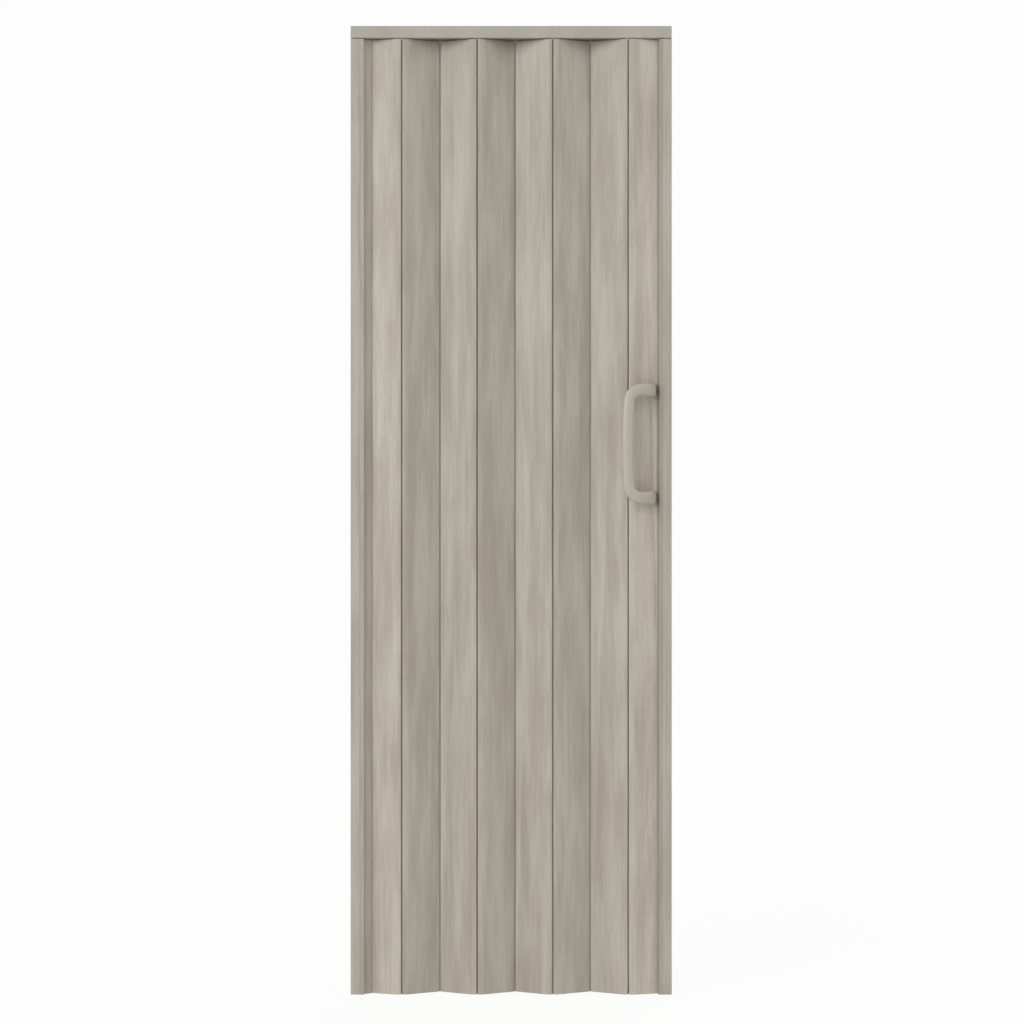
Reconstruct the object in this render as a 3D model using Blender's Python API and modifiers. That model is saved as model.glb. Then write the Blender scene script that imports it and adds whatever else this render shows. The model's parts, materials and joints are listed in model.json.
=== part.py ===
# Folding accordion door: a header track, a wall jamb, eight hollow slats with soft hinge strips,
# a lead post and a bow handle on each side.
# Frame: +Z up, +X along the track towards the lead post, -Y towards the viewer.
# The origin is on the header's top face, half way along it, over the line that the gliders run on.

import math

import bmesh
import bpy
from mathutils import Matrix, Vector

MM = 0.001

# Clearances
FIT = 0.3 * MM
FOLD_CLEARANCE = 0.15 * MM
WELD_DISTANCE = 0.01 * MM

# Slats: one hollow extrusion, used eight times
DOOR_HEIGHT = 2020.0 * MM
SLAT_LENGTH = 82.6 * MM
SLAT_THICKNESS = 8.0 * MM
SLAT_WALL = 0.9 * MM
SLAT_RIB = 0.8 * MM
SLAT_TOP_GAP = 1.8 * MM
SKIN_SETBACK = 1.8 * MM
END_WALL_SETBACK = 0.45 * MM
END_CELL = 7.0 * MM
NOSE_RADIUS = 1.6 * MM
RIDGE_SETBACK = 1.0 * MM
FOLDING_SLATS = 6
MIDDLE_CELLS = 4
JAMB_AXIS_DEPTH = 16.9 * MM
LEAD_AXIS_DEPTH = 11.05 * MM

# Hinge strips: a lip at the fold, a web and a bead that slides into a slat's end
LIP_START = 0.15 * MM
LIP_THICKNESS = 0.75 * MM
WEB_THICKNESS = 1.0 * MM
BEAD_RADIUS = 1.2 * MM
BEAD_INSET = 4.3 * MM
STRIP_SHORTER = 1.2 * MM

# Header track
HEADER_HEIGHT = 25.2 * MM
HEADER_DEPTH = 36.0 * MM
FRONT_REACH = 5.5 * MM
HEADER_WALL = 1.2 * MM
HEADER_TOP = 1.6 * MM
HEADER_EDGE_RADIUS = 1.6 * MM
BACK_LIP_DROP = 1.2 * MM
CHANNEL_HALF_WIDTH = 4.3 * MM
CHANNEL_HEIGHT = 5.0 * MM
CHANNEL_LIP = 1.4 * MM
SLOT_HALF_WIDTH = 1.9 * MM
TRACK_SCREWS = 4
TRACK_SCREW_END_INSET = 60.0 * MM

# Jamb and lead post
POST_WALL = 1.4 * MM
JAMB_HINGE_INSET = 25.2 * MM
JAMB_COVER_WIDTH = 19.3 * MM
JAMB_FRONT_WIDTH = 28.0 * MM
JAMB_MOUTH = 43.0 * MM
JAMB_STEP = 6.2 * MM
JAMB_POCKET_DEPTH = 9.1 * MM
JAMB_SCREW_SETBACK = 7.3 * MM
LEAD_HINGE_INSET = 7.9 * MM
LEAD_COVER_WIDTH = 19.2 * MM
LEAD_FRONT_WIDTH = 25.2 * MM
LEAD_MOUTH = 29.9 * MM
SNAP_BUMP = 0.7 * MM
SNAP_LENGTH = 0.8 * MM
SNAP_RAMP = 0.4 * MM
SNAP_DROP = 1.9 * MM
SNAP_SETBACK = 4.0 * MM
COVER_LEG = 1.0 * MM
COVER_LEG_LENGTH = 4.7 * MM
CORNER_RADIUS = 1.0 * MM
RAIL_THICKNESS = 1.0 * MM

# Gliders
GLIDER_HEAD_RADIUS = 3.9 * MM
GLIDER_HEAD_HEIGHT = 2.4 * MM
GLIDER_STEM_RADIUS = 1.4 * MM
GLIDER_ARM_THICKNESS = 1.2 * MM
GLIDER_ARM_RADIUS = 2.6 * MM
GLIDER_PLUG_LENGTH = 9.0 * MM
GLIDER_PLUG_DEPTH = 22.0 * MM
LEAD_GLIDER_LENGTH = 12.0 * MM
LEAD_GLIDER_WIDTH = 4.0 * MM

# Handles
HANDLE_HEIGHT = 255.5 * MM
HANDLE_CENTRE_DROP = 871.8 * MM
HANDLE_FOOT_GAP = 3.2 * MM
LEG_HEIGHT = 31.2 * MM
LEG_THICKNESS = 9.4 * MM
GRIP_WIDTH = 23.5 * MM
GRIP_THICKNESS = 12.0 * MM
GRIP_CORNER = 26.0 * MM
GRIP_BOW = 2.6 * MM
GRIP_REACH = 43.0 * MM
FRONT_GRIP_RUN = 52.8 * MM
BACK_GRIP_RUN = 34.0 * MM

# Screws
SCREW_HEAD_RADIUS = 3.4 * MM
SCREW_HEAD_HEIGHT = 1.7 * MM
SCREW_SHANK_RADIUS = 1.6 * MM
SCREW_SLOT_RADIUS = 1.1 * MM
SCREW_SLOT_DEPTH = 0.8 * MM
JAMB_SCREWS = 4
JAMB_SCREW_END_INSET = 120.0 * MM
HANDLE_SCREW_BITE = 12.0 * MM
HANDLE_SCREW_SEAT = 10.0 * MM
COUNTERBORE_LENGTH = 30.0 * MM
CUT_OVERRUN = 1.0 * MM

# Facet counts
CROWN_STEPS = 6
NOSE_STEPS = 4
BEAD_STEPS = 10
CORNER_STEPS = 3
ROUND_STEPS = 20
BAR_STEPS = 20
LEG_RINGS = 5
TURN_RINGS = 7
GRIP_RINGS = 9

# Derived sizes
HALF_THICKNESS = SLAT_THICKNESS / 2
AXIS_OFFSET = HALF_THICKNESS + FOLD_CLEARANCE
FRONT_Y = -FRONT_REACH
BACK_Y = FRONT_Y + HEADER_DEPTH
SLAT_TOP_Z = -HEADER_HEIGHT - SLAT_TOP_GAP
SLAT_HEIGHT = DOOR_HEIGHT + SLAT_TOP_Z
RIDGE_Y = FRONT_Y + RIDGE_SETBACK
FOLD_DEPTH = HEADER_DEPTH - 2 * FRONT_REACH + RIDGE_SETBACK


def slat_angle(depth):
    """The angle at which a slat's far axis stands that deep behind its near axis."""
    reach = math.hypot(SLAT_LENGTH, 2 * AXIS_OFFSET)
    return math.asin(depth / reach) + math.atan2(2 * AXIS_OFFSET, SLAT_LENGTH)


def fold_span(angle):
    """How far a slat's far axis lies from its near axis along the track."""
    return SLAT_LENGTH * math.cos(angle) + 2 * AXIS_OFFSET * math.sin(angle)


REST_ANGLE = slat_angle(FOLD_DEPTH)
JAMB_SLAT_ANGLE = slat_angle(JAMB_AXIS_DEPTH)
LEAD_SLAT_ANGLE = slat_angle(LEAD_AXIS_DEPTH)
WALL_GAP_HALF = END_WALL_SETBACK * math.cos(REST_ANGLE) + (
    SLAT_WALL + WEB_THICKNESS + 2 * FIT + FOLD_CLEARANCE
) * math.sin(REST_ANGLE)
PITCH = fold_span(REST_ANGLE)
JAMB_SPAN = fold_span(JAMB_SLAT_ANGLE)
LEAD_SPAN = fold_span(LEAD_SLAT_ANGLE)
DOOR_WIDTH = JAMB_HINGE_INSET + JAMB_SPAN + FOLDING_SLATS * PITCH + LEAD_SPAN + LEAD_HINGE_INSET
WALL_X = -DOOR_WIDTH / 2
CLOSING_X = DOOR_WIDTH / 2
FIRST_RIDGE_X = WALL_X + JAMB_HINGE_INSET + JAMB_SPAN
LAST_RIDGE_X = FIRST_RIDGE_X + FOLDING_SLATS * PITCH
JAMB_TOP_Z = -HEADER_HEIGHT - BACK_LIP_DROP - FIT
HOLE_RADIUS = SCREW_SHANK_RADIUS + FIT

COLOURS = {
    "wood_foil": (0.42, 0.385, 0.33),
    "header_plastic": (0.43, 0.405, 0.355),
    "hinge_plastic": (0.19, 0.17, 0.14),
    "glider_nylon": (0.75, 0.74, 0.70),
    "screw_steel": (0.55, 0.55, 0.56),
    "handle_plastic": (0.41, 0.38, 0.32),
}


# Scene set-up

def clear_scene():
    for item in list(bpy.data.objects):
        bpy.data.objects.remove(item, do_unlink=True)


def new_collection(name):
    collection = bpy.data.collections.new(name)
    bpy.context.scene.collection.children.link(collection)
    return collection


def part_material(name, colour, roughness, metallic=0.0):
    material = bpy.data.materials.new(name)
    material.use_nodes = True
    shader = material.node_tree.nodes["Principled BSDF"]
    shader.inputs["Base Color"].default_value = (*colour, 1.0)
    shader.inputs["Roughness"].default_value = roughness
    shader.inputs["Metallic"].default_value = metallic
    material.diffuse_color = (*colour, 1.0)
    return material


# Outline helpers

def arc(centre, radius, start, end, steps):
    """Points of an arc about centre, both ends included; angles in radians."""
    points = []
    for step in range(steps + 1):
        angle = start + (end - start) * step / steps
        points.append((centre[0] + radius * math.cos(angle), centre[1] + radius * math.sin(angle)))
    return points


def fillet(corner, before, after, radius, steps):
    """The arc that rounds a corner between the directions of two neighbouring points."""
    to_before = (Vector(before) - Vector(corner)).normalized()
    to_after = (Vector(after) - Vector(corner)).normalized()
    half = to_before.angle(to_after) / 2
    reach = radius / math.tan(half)
    start = Vector(corner) + to_before * reach
    end = Vector(corner) + to_after * reach
    centre = Vector(corner) + (to_before + to_after).normalized() * radius / math.sin(half)
    first = math.atan2(start.y - centre.y, start.x - centre.x)
    last = math.atan2(end.y - centre.y, end.x - centre.x)
    sweep = (last - first + math.pi) % (2 * math.pi) - math.pi
    return arc(centre, radius, first, first + sweep, steps)


def turned_half(points):
    """The points turned half a turn about the origin."""
    return [(-x, -y) for x, y in points]


def extruded(name, outlines, length, collection):
    """A solid of the given outline and holes, extruded by length about its own XY plane."""
    curve = bpy.data.curves.new(name, "CURVE")
    curve.dimensions = "2D"
    curve.fill_mode = "BOTH"
    curve.extrude = length / 2
    for outline in outlines:
        spline = curve.splines.new("POLY")
        spline.points.add(len(outline) - 1)
        for point, (x, y) in zip(spline.points, outline):
            point.co = (x, y, 0.0, 1.0)
        spline.use_cyclic_u = True
    shape = bpy.data.objects.new(name, curve)
    collection.objects.link(shape)
    mesh = mesh_of(shape)
    bpy.data.objects.remove(shape, do_unlink=True)
    bpy.data.curves.remove(curve)
    return even_caps(weld(mesh))


def mesh_of(shape):
    """A mesh copy of an object as its modifiers leave it."""
    bpy.context.view_layer.update()
    graph = bpy.context.evaluated_depsgraph_get()
    return bpy.data.meshes.new_from_object(shape.evaluated_get(graph))


def weld(mesh):
    """Join a mesh's loose caps and turn its faces outwards."""
    work = bmesh.new()
    work.from_mesh(mesh)
    bmesh.ops.remove_doubles(work, verts=work.verts, dist=WELD_DISTANCE)
    bmesh.ops.recalc_face_normals(work, faces=work.faces)
    work.to_mesh(mesh)
    work.free()
    return mesh


def even_caps(mesh):
    """Turn edges within an extrusion's flat ends until no triangle there is a mere line."""
    work = bmesh.new()
    work.from_mesh(mesh)
    caps = []
    for face in work.faces:
        heights = [vertex.co.z for vertex in face.verts]
        if max(heights) - min(heights) < FIT:
            caps.append(face)
    inner = {edge for face in caps for edge in face.edges}
    inner = [edge for edge in inner if all(face in caps for face in edge.link_faces)]
    bmesh.ops.beautify_fill(work, faces=caps, edges=inner, method="ANGLE")
    work.to_mesh(mesh)
    work.free()
    return mesh


# Placing

class Builder:
    """Makes the parts, each with its own material, and hangs it on its body's pivot."""

    def __init__(self):
        self.places = {}
        self.parts = new_collection("folding_door")
        self.cutters = new_collection("folding_door_cutters")
        self.finish = {
            "wood_foil": 0.5,
            "header_plastic": 0.45,
            "hinge_plastic": 0.65,
            "glider_nylon": 0.4,
            "screw_steel": 0.35,
            "handle_plastic": 0.4,
        }

    def pivot(self, name, x, y):
        empty = bpy.data.objects.new(name, None)
        empty.empty_display_size = SLAT_THICKNESS
        empty.location = (x, y, 0.0)
        self.parts.objects.link(empty)
        return empty

    def part(self, name, mesh, slot, pivot, place=Matrix()):
        shape = bpy.data.objects.new(name, mesh)
        self.parts.objects.link(shape)
        metallic = 1.0 if slot == "screw_steel" else 0.0
        material = part_material(name + "_" + slot, COLOURS[slot], self.finish[slot], metallic)
        if not mesh.materials:
            mesh.materials.append(material)
        shape.material_slots[0].link = "OBJECT"
        shape.material_slots[0].material = material
        if pivot is not None:
            shape.parent = pivot
            shape.location = Vector(place.to_translation()) - Vector(pivot.location)
        else:
            shape.location = place.to_translation()
        shape.rotation_euler = place.to_euler()
        self.places[shape] = place
        return shape

    def cut(self, shape, cutter_mesh):
        """Cut a shape by a mesh that is given in the door's own frame."""
        cutter_mesh.transform(self.places[shape].inverted())
        cutter = bpy.data.objects.new(shape.name + "_cutter", cutter_mesh)
        cutter.hide_render = True
        cutter.display_type = "WIRE"
        cutter.parent = shape
        self.cutters.objects.link(cutter)
        modifier = shape.modifiers.new("cut", "BOOLEAN")
        modifier.operation = "DIFFERENCE"
        modifier.solver = "EXACT"
        modifier.object = cutter


def standing(x, y, z, angle=0.0, flipped=False):
    """Where an upright extrusion goes: its middle, its turn, and whether it stands upside down."""
    turn = Matrix.Rotation(angle, 4, "Z")
    if flipped:
        turn = turn @ Matrix.Rotation(math.pi, 4, "X")
    return Matrix.Translation((x, y, z)) @ turn


# Slat section, in a frame whose origin is the slat's middle, near end at -x, opening side at +y

def slat_section():
    """The slat's outline with a hooked groove at each end, and the holes of its closed cells."""
    half_length = SLAT_LENGTH / 2
    skin_inside = -HALF_THICKNESS + SLAT_WALL
    groove_top = skin_inside + WEB_THICKNESS + 2 * FIT

    # The nose corner, where the ridge's front and the upright end wall meet in the open door
    corner_x = WALL_GAP_HALF * math.cos(REST_ANGLE) + RIDGE_Y * math.sin(REST_ANGLE)
    corner_y = WALL_GAP_HALF * math.sin(REST_ANGLE) - RIDGE_Y * math.cos(REST_ANGLE) - AXIS_OFFSET
    corner = (corner_x - half_length, corner_y)

    # The crown, an arc that leaves the face level and reaches the corner at the fold's angle
    crown_radius = (HALF_THICKNESS - corner_y) / (1 - math.cos(REST_ANGLE))
    crown_end = corner[0] + crown_radius * math.sin(REST_ANGLE)
    crown_centre = (crown_end, HALF_THICKNESS - crown_radius)

    def face_y(x):
        if x > crown_end:
            return HALF_THICKNESS
        return crown_centre[1] + math.sqrt(crown_radius**2 - (x - crown_end) ** 2)

    up = math.pi / 2
    crown = arc(crown_centre, crown_radius, up + REST_ANGLE, up, CROWN_STEPS)
    wall_foot = (END_WALL_SETBACK - half_length, groove_top)
    nose = fillet(corner, wall_foot, crown[1], NOSE_RADIUS, NOSE_STEPS)
    first_crown = [point for point in crown if point[0] > nose[-1][0]]

    # Inside the open end cell
    slant = (Vector(wall_foot) - Vector(corner)).normalized()
    inward = Vector((-slant.y, slant.x))
    foot_inside = (wall_foot[0] + SLAT_WALL / inward.x, groove_top)
    rib_left = END_CELL - half_length
    cell_top = face_y(rib_left) - SLAT_WALL
    nose_x = corner[0] + NOSE_RADIUS + SLAT_WALL
    nose_inside = (nose_x, face_y(nose_x) - SLAT_WALL)
    wall_top = tuple(Vector(corner) + inward * SLAT_WALL + slant * NOSE_RADIUS / 2)

    half = [
        (SKIN_SETBACK - half_length, -HALF_THICKNESS),
        (SKIN_SETBACK - half_length, skin_inside),
        (rib_left, skin_inside),
        (rib_left, cell_top),
        nose_inside,
        wall_top,
        foot_inside,
        wall_foot,
        *nose,
        *first_crown,
    ]
    outline = half + turned_half(half)

    # Closed cells between the ribs
    holes = []
    first_rib = rib_left
    rib_step = (2 * -first_rib - SLAT_RIB) / MIDDLE_CELLS
    for cell in range(MIDDLE_CELLS):
        left = first_rib + cell * rib_step + SLAT_RIB
        right = first_rib + (cell + 1) * rib_step
        top = [(x, face_y(x) - SLAT_WALL) for x in sample_between(left, right, crown_end)]
        bottom = [(x, SLAT_WALL - face_y(-x)) for x in sample_between(left, right, -crown_end)]
        holes.append(top + bottom[::-1])
    return outline, holes


def sample_between(left, right, bend):
    """Positions from left to right, with one more in the curved stretch beside the bend."""
    inner = [bend] if left < bend < right else []
    if bend < 0:
        curved = (left, min(bend, right))
    else:
        curved = (max(bend, left), right)
    if curved[1] > curved[0]:
        inner.append((curved[0] + curved[1]) / 2)
    return sorted({left, *inner, right})


# Hinge strip section, in a frame whose origin is the hinge axis: x along the slat, y into it

def bead_points(root_x, low, high):
    """A strip's web from root_x into a slat's groove, with the bead at its end."""
    centre = (BEAD_INSET, low + BEAD_RADIUS)
    rise = math.asin(min(1.0, (high - centre[1]) / BEAD_RADIUS))
    bead = arc(centre, BEAD_RADIUS, -math.pi / 2, math.pi - rise, BEAD_STEPS)
    return [(root_x, low), *bead, (root_x, high)]


def strip_half_section():
    low = FOLD_CLEARANCE + SLAT_WALL + FIT
    high = low + WEB_THICKNESS
    lip_end = LIP_START + LIP_THICKNESS
    web = bead_points(lip_end, low, high)
    return [
        (LIP_START, high),
        (LIP_START, FOLD_CLEARANCE),
        (lip_end, FOLD_CLEARANCE),
        *web[:-1],
    ]


# Header track

def header_section():
    """The track's section, x to the back and y up."""
    low = -HEADER_HEIGHT
    lip_top = low + CHANNEL_LIP
    channel_top = lip_top + CHANNEL_HEIGHT
    web_top = channel_top + HEADER_WALL
    channel_back = CHANNEL_HALF_WIDTH + HEADER_WALL
    slot_edge = (-SLOT_HALF_WIDTH, low)
    outline = [
        *fillet((FRONT_Y, low), (FRONT_Y, 0.0), slot_edge, HEADER_EDGE_RADIUS, CORNER_STEPS),
        slot_edge,
        (-SLOT_HALF_WIDTH, lip_top),
        (-CHANNEL_HALF_WIDTH, lip_top),
        (-CHANNEL_HALF_WIDTH, channel_top),
        (CHANNEL_HALF_WIDTH, channel_top),
        (CHANNEL_HALF_WIDTH, lip_top),
        (SLOT_HALF_WIDTH, lip_top),
        (SLOT_HALF_WIDTH, low),
        (channel_back, low),
        (channel_back, -HEADER_TOP),
        (BACK_Y - HEADER_WALL, -HEADER_TOP),
        (BACK_Y - HEADER_WALL, low - BACK_LIP_DROP),
        (BACK_Y, low - BACK_LIP_DROP),
        *fillet((BACK_Y, 0.0), (BACK_Y, low), (FRONT_Y, 0.0), CORNER_RADIUS, CORNER_STEPS),
        *fillet((FRONT_Y, 0.0), (BACK_Y, 0.0), (FRONT_Y, low), CORNER_RADIUS, CORNER_STEPS),
    ]
    hole = [
        (FRONT_Y + HEADER_WALL, web_top),
        (FRONT_Y + HEADER_WALL, -HEADER_TOP),
        (CHANNEL_HALF_WIDTH, -HEADER_TOP),
        (CHANNEL_HALF_WIDTH, web_top),
    ]
    return outline, [hole]


def along_track(x=0.0):
    """Turns a section drawn with x to the back and y up into one that runs along the track."""
    turn = Matrix.Rotation(math.pi / 2, 4, "Z") @ Matrix.Rotation(math.pi / 2, 4, "X")
    return Matrix.Translation((x, 0.0, 0.0)) @ turn


# Snap joints between the posts and their covers

def snap_bump(x, y, side):
    """A small rib on a wall at x, from y towards +y, that stands out towards side."""
    return [
        (x, y),
        (x + side * SNAP_BUMP, y + SNAP_RAMP),
        (x + side * SNAP_BUMP, y + SNAP_RAMP + SNAP_LENGTH),
        (x, y + 2 * SNAP_RAMP + SNAP_LENGTH),
    ]


def cover_leg(wall_x, side, top, far):
    """A cover's leg beside a wall at wall_x with a bump: its grooved side, then its plain side."""
    face = wall_x + side * FIT
    groove = face + side * SNAP_BUMP
    bump = FRONT_Y + POST_WALL + FIT + SNAP_DROP
    return [
        (face, top),
        (face, bump - FIT),
        (groove, bump + SNAP_RAMP - FIT),
        (groove, bump + SNAP_RAMP + SNAP_LENGTH + FIT),
        (face, bump + 2 * SNAP_RAMP + SNAP_LENGTH + FIT),
        (face, far),
        (face + side * (COVER_LEG + SNAP_BUMP), far),
        (face + side * (COVER_LEG + SNAP_BUMP), top),
    ]


# The end slats' places, and the lips and rails that hold them

def end_slat_point(ridge_x, side, angle, along, into):
    """A point by its distance from the near axis along an end slat and from its closing plane."""
    x = ridge_x + side * (along * math.cos(angle) + into * math.sin(angle))
    y = along * math.sin(angle) - into * math.cos(angle)
    return x, y


def face_y_at(ridge_x, side, angle, into, x):
    """How far back a line beside an end slat lies where it passes x."""
    along = (side * (x - ridge_x) - into * math.sin(angle)) / math.cos(angle)
    return along * math.sin(angle) - into * math.cos(angle)


def rail(ridge_x, side, angle, root_x):
    """A rail with a bead in an end slat's far groove, from a wall at root_x and back to it."""
    far_x, far_y = end_slat_point(ridge_x, side, angle, SLAT_LENGTH, 2 * AXIS_OFFSET)
    low = FOLD_CLEARANCE + SLAT_WALL + FIT
    high = low + RAIL_THICKNESS

    def placed(along, into):
        x = far_x - side * (along * math.cos(angle) + into * math.sin(angle))
        y = far_y - along * math.sin(angle) + into * math.cos(angle)
        return x, y

    def root(into):
        along = (side * (far_x - root_x) - into * math.sin(angle)) / math.cos(angle)
        return placed(along, into)

    bead = [placed(along, into) for along, into in bead_points(0.0, low, high)[1:-1]]
    return [root(low), *bead, root(high)]


def jamb_base_section():
    """The wall jamb's section from above, x from the wall face along the track."""
    ridge = JAMB_HINGE_INSET + JAMB_SPAN
    wall = POST_WALL
    seat = FRONT_Y + wall + FIT
    floor = FRONT_Y + JAMB_POCKET_DEPTH + wall
    rib_left = JAMB_COVER_WIDTH + FIT
    rib_right = rib_left + wall
    inner = JAMB_FRONT_WIDTH - wall
    step_front = FRONT_Y + JAMB_STEP
    bump = seat + SNAP_DROP
    front_into = SLAT_THICKNESS + FOLD_CLEARANCE + FIT
    back_into = FOLD_CLEARANCE - FIT
    tip_front = face_y_at(ridge, -1, JAMB_SLAT_ANGLE, front_into, JAMB_MOUTH)
    tip_back = face_y_at(ridge, -1, JAMB_SLAT_ANGLE, back_into, JAMB_MOUTH)
    lip_back = face_y_at(ridge, -1, JAMB_SLAT_ANGLE, back_into, inner) + FIT
    front_corner = fillet(
        (JAMB_FRONT_WIDTH, FRONT_Y), (rib_left, FRONT_Y), (JAMB_FRONT_WIDTH, step_front),
        CORNER_RADIUS, CORNER_STEPS,
    )
    back_corner = fillet(
        (JAMB_FRONT_WIDTH, BACK_Y), (JAMB_FRONT_WIDTH, lip_back), (0.0, BACK_Y),
        CORNER_RADIUS, CORNER_STEPS,
    )
    return [
        (0.0, seat),
        (wall, seat),
        *snap_bump(wall, bump, 1),
        (wall, floor),
        (rib_left, floor),
        *reversed(snap_bump(rib_left, bump, -1)),
        (rib_left, FRONT_Y),
        *front_corner,
        (JAMB_FRONT_WIDTH, step_front),
        (JAMB_MOUTH, tip_front - wall),
        (JAMB_MOUTH, tip_front),
        (inner, step_front + wall),
        (inner, FRONT_Y + wall),
        (rib_right, FRONT_Y + wall),
        (rib_right, floor + wall),
        (wall, floor + wall),
        *rail(ridge, -1, JAMB_SLAT_ANGLE, wall),
        (wall, BACK_Y - wall),
        (inner, BACK_Y - wall),
        (inner, lip_back),
        (JAMB_MOUTH, tip_back),
        (JAMB_MOUTH, tip_back + wall),
        (JAMB_FRONT_WIDTH, lip_back + wall),
        *back_corner,
        (0.0, BACK_Y),
    ]


def jamb_cover_section():
    wall = POST_WALL
    far = FRONT_Y + wall + COVER_LEG_LENGTH
    under = FRONT_Y + wall
    pocket_right = JAMB_COVER_WIDTH + FIT
    left_corner = fillet(
        (0.0, FRONT_Y), (0.0, under), (JAMB_COVER_WIDTH, FRONT_Y), CORNER_RADIUS, CORNER_STEPS
    )
    return [
        (0.0, under),
        *cover_leg(wall, 1, under, far),
        *reversed(cover_leg(pocket_right, -1, under, far)),
        (JAMB_COVER_WIDTH, FRONT_Y),
        *reversed(left_corner),
    ]


def snap_rib(x, y, height, slack=0.0):
    """A rib on a face at y, from x leftwards, or with some slack the groove that takes it."""
    far = x - 2 * SNAP_RAMP - SNAP_LENGTH - slack
    return [
        (x + slack, y),
        (x + slack - SNAP_RAMP, y + height),
        (far + SNAP_RAMP, y + height),
        (far, y),
    ]


def lead_post_section():
    """The lead post's section from above, x from the closing face against the track."""
    ridge = -(LEAD_HINGE_INSET + LEAD_SPAN)
    wall = POST_WALL
    core = -wall - FIT
    core_inner = core - wall
    seat_front = FRONT_Y + wall + FIT
    seat_back = BACK_Y - wall - FIT
    seam = -LEAD_COVER_WIDTH - FIT
    corner = -LEAD_FRONT_WIDTH
    mouth = -LEAD_MOUTH
    snap = -LEAD_COVER_WIDTH + SNAP_SETBACK
    front_into = SLAT_THICKNESS + FOLD_CLEARANCE + FIT
    back_into = FOLD_CLEARANCE - FIT
    tip_front = face_y_at(ridge, 1, LEAD_SLAT_ANGLE, front_into, mouth)
    tip_back = face_y_at(ridge, 1, LEAD_SLAT_ANGLE, back_into, mouth)
    front_corner = fillet(
        (corner, FRONT_Y), (mouth, tip_front - wall), (seam, FRONT_Y), CORNER_RADIUS, CORNER_STEPS
    )
    back_corner = fillet(
        (corner, BACK_Y), (seam, BACK_Y), (mouth, tip_back + wall), CORNER_RADIUS, CORNER_STEPS
    )
    return [
        (core, seat_front),
        (core, seat_back),
        *snap_rib(snap, seat_back, -SNAP_BUMP, FIT),
        (seam, seat_back),
        (seam, BACK_Y),
        *back_corner,
        (mouth, tip_back + wall),
        (mouth, tip_back),
        (corner + wall, seat_back - wall),
        (core_inner, seat_back - wall),
        *reversed(rail(ridge, 1, LEAD_SLAT_ANGLE, core_inner)),
        (core_inner, seat_front + wall),
        (corner + wall, seat_front + wall),
        (mouth, tip_front),
        (mouth, tip_front - wall),
        *front_corner,
        (seam, FRONT_Y),
        (seam, seat_front),
        *reversed(snap_rib(snap, seat_front, SNAP_BUMP, FIT)),
    ]


def lead_cover_section():
    """A shallow U round the lead post's closing side, with a snap rib inside each plate."""
    wall = POST_WALL
    seam = -LEAD_COVER_WIDTH
    snap = seam + SNAP_SETBACK
    front = fillet((0.0, FRONT_Y), (seam, FRONT_Y), (0.0, BACK_Y), CORNER_RADIUS, CORNER_STEPS)
    back = fillet((0.0, BACK_Y), (0.0, FRONT_Y), (seam, BACK_Y), CORNER_RADIUS, CORNER_STEPS)
    return [
        (seam, FRONT_Y),
        *front,
        *back,
        (seam, BACK_Y),
        (seam, BACK_Y - wall),
        *reversed(snap_rib(snap, BACK_Y - wall, -SNAP_BUMP)),
        (-wall, BACK_Y - wall),
        (-wall, FRONT_Y + wall),
        *snap_rib(snap, FRONT_Y + wall, SNAP_BUMP),
        (seam, FRONT_Y + wall),
    ]


# Turned pieces

def turned(name, profile, collection):
    """A solid turned about the Z axis from a profile that runs from its top to its foot."""
    mesh = bpy.data.meshes.new(name)
    points = [(radius, 0.0, z) for radius, z in profile]
    mesh.from_pydata(points, [(i, i + 1) for i in range(len(points) - 1)], [])
    shape = bpy.data.objects.new(name, mesh)
    collection.objects.link(shape)
    screw = shape.modifiers.new("turn", "SCREW")
    screw.steps = ROUND_STEPS
    screw.render_steps = ROUND_STEPS
    screw.use_merge_vertices = True
    screw.merge_threshold = WELD_DISTANCE
    solid = mesh_of(shape)
    bpy.data.objects.remove(shape, do_unlink=True)
    bpy.data.meshes.remove(mesh)
    return weld(solid)


def screw_mesh(name, shank, collection):
    """A pan-head screw: the head's seat at z = 0, the shank up to z = shank, the head below."""
    head = SCREW_HEAD_RADIUS
    profile = [
        (0.0, shank),
        (SCREW_SHANK_RADIUS, shank),
        (SCREW_SHANK_RADIUS, 0.0),
        (head, 0.0),
        (head, -SCREW_HEAD_HEIGHT / 2),
        (head * math.cos(math.pi / 6), -SCREW_HEAD_HEIGHT),
        (SCREW_SLOT_RADIUS, -SCREW_HEAD_HEIGHT),
        (SCREW_SLOT_RADIUS, -SCREW_HEAD_HEIGHT + SCREW_SLOT_DEPTH),
        (0.0, -SCREW_HEAD_HEIGHT + SCREW_SLOT_DEPTH),
    ]
    return turned(name, profile, collection)


def hole_mesh(name, radius, start, end, place):
    """A round cutter from start to end along its own Z axis, moved by place."""
    work = bmesh.new()
    bmesh.ops.create_cone(
        work, cap_ends=True, segments=ROUND_STEPS, radius1=radius, radius2=radius, depth=end - start,
        matrix=place @ Matrix.Translation((0.0, 0.0, (start + end) / 2)),
    )
    mesh = bpy.data.meshes.new(name)
    work.to_mesh(mesh)
    work.free()
    return mesh


def holes_mesh(name, reach, places):
    """One cutter for a row of screw holes, each from just before its place to reach beyond it."""
    work = bmesh.new()
    for place in places:
        work.from_mesh(hole_mesh(name, HOLE_RADIUS, -CUT_OVERRUN, reach, place))
    mesh = bpy.data.meshes.new(name)
    work.to_mesh(mesh)
    work.free()
    return mesh


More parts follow.
